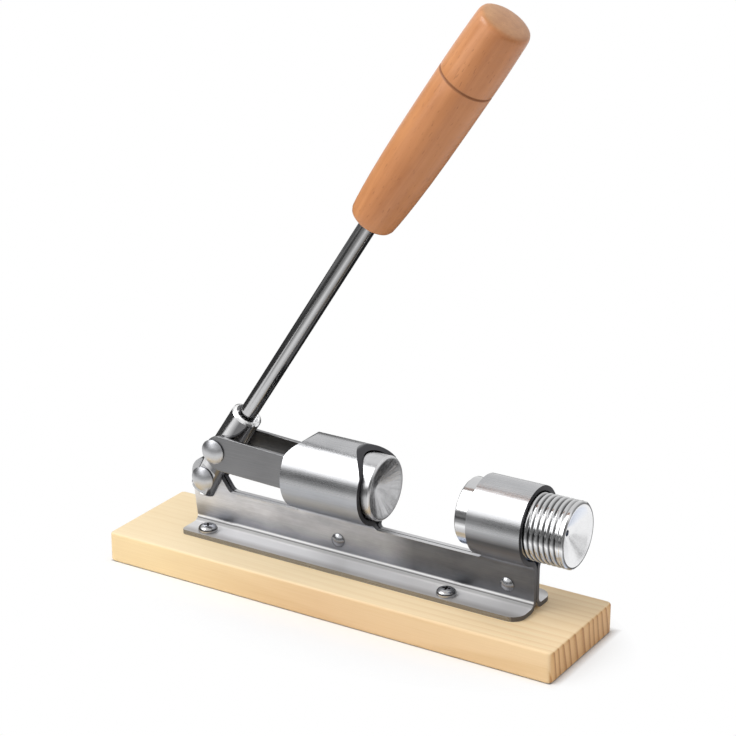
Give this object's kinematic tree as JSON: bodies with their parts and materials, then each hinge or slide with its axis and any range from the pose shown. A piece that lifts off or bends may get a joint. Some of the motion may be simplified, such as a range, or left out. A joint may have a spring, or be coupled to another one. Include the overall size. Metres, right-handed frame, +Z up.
{
  "type": "lever nutcracker",
  "caption": "Bench nutcracker: a hand lever drives a cupped plunger through links towards a screw-adjusted cupped anvil, on a folded steel frame screwed to a wooden board.",
  "frame": {"origin": "middle of the board's underside", "axes": "+X along the board from the lever's pivot to the anvil, +Y to the back, +Z up"},
  "size_m": [0.24, 0.06, 0.2845],
  "materials": {
    "pine": "sanded, bare",
    "beech": "clear lacquer",
    "plated_sheet": "bright plated sheet",
    "plated_steel": "bright plated bar",
    "plated_rivet": "bright plated head",
    "plated_screw": "bright plated head",
    "turned_steel": "turned",
    "turned_aluminium": "bright turned"
  },
  "bodies": {
    "base": {"base_board": "pine", "frame": "plated_sheet", "base_screw_front_left": "plated_screw", "base_screw_front_right": "plated_screw", "base_screw_rear_left": "plated_screw", "base_screw_rear_right": "plated_screw", "frame_rivet_left": "plated_rivet", "frame_rivet_right": "plated_rivet", "pivot_rivet": "plated_rivet", "pivot_spacer": "turned_steel", "collar_thread_ring": "turned_steel"},
    "lever": {"lever_head": "plated_steel", "lever_rod": "plated_steel", "handle_grip": "beech", "link_rivet": "plated_rivet"},
    "links": {"link_front": "plated_sheet", "link_rear": "plated_sheet"},
    "ram": {"plunger": "turned_steel", "plunger_pin": "turned_steel"},
    "anvil": {"anvil_screw": "turned_aluminium"}
  },
  "joints": [
    {"name": "lever_swing", "type": "hinge", "parent": "base", "child": "lever", "pos_m": [-0.0834, 0.004, 0.0412], "axis": [0, 1, 0], "range_deg": [-33, 24.5]},
    {"name": "link_swing", "type": "hinge", "parent": "lever", "child": "links", "pos_m": [-0.0744, 0.004, 0.0584], "axis": [0, 1, 0], "range_deg": [-27.68, 37.28]},
    {"name": "ram_slide", "type": "slide", "parent": "base", "child": "ram", "axis": [1, 0, 0], "range_m": [-0.00995, 0.00739]},
    {"name": "anvil_feed", "type": "slide", "parent": "base", "child": "anvil", "axis": [1, 0, 0], "range_m": [-0.022, 0.011]}
  ],
  "couplings": [
    {"joint": "link_swing", "follows": "lever_swing", "ratio": -1.1295},
    {"joint": "ram_slide", "follows": "lever_swing", "m_per_rad": 0.017274}
  ]
}
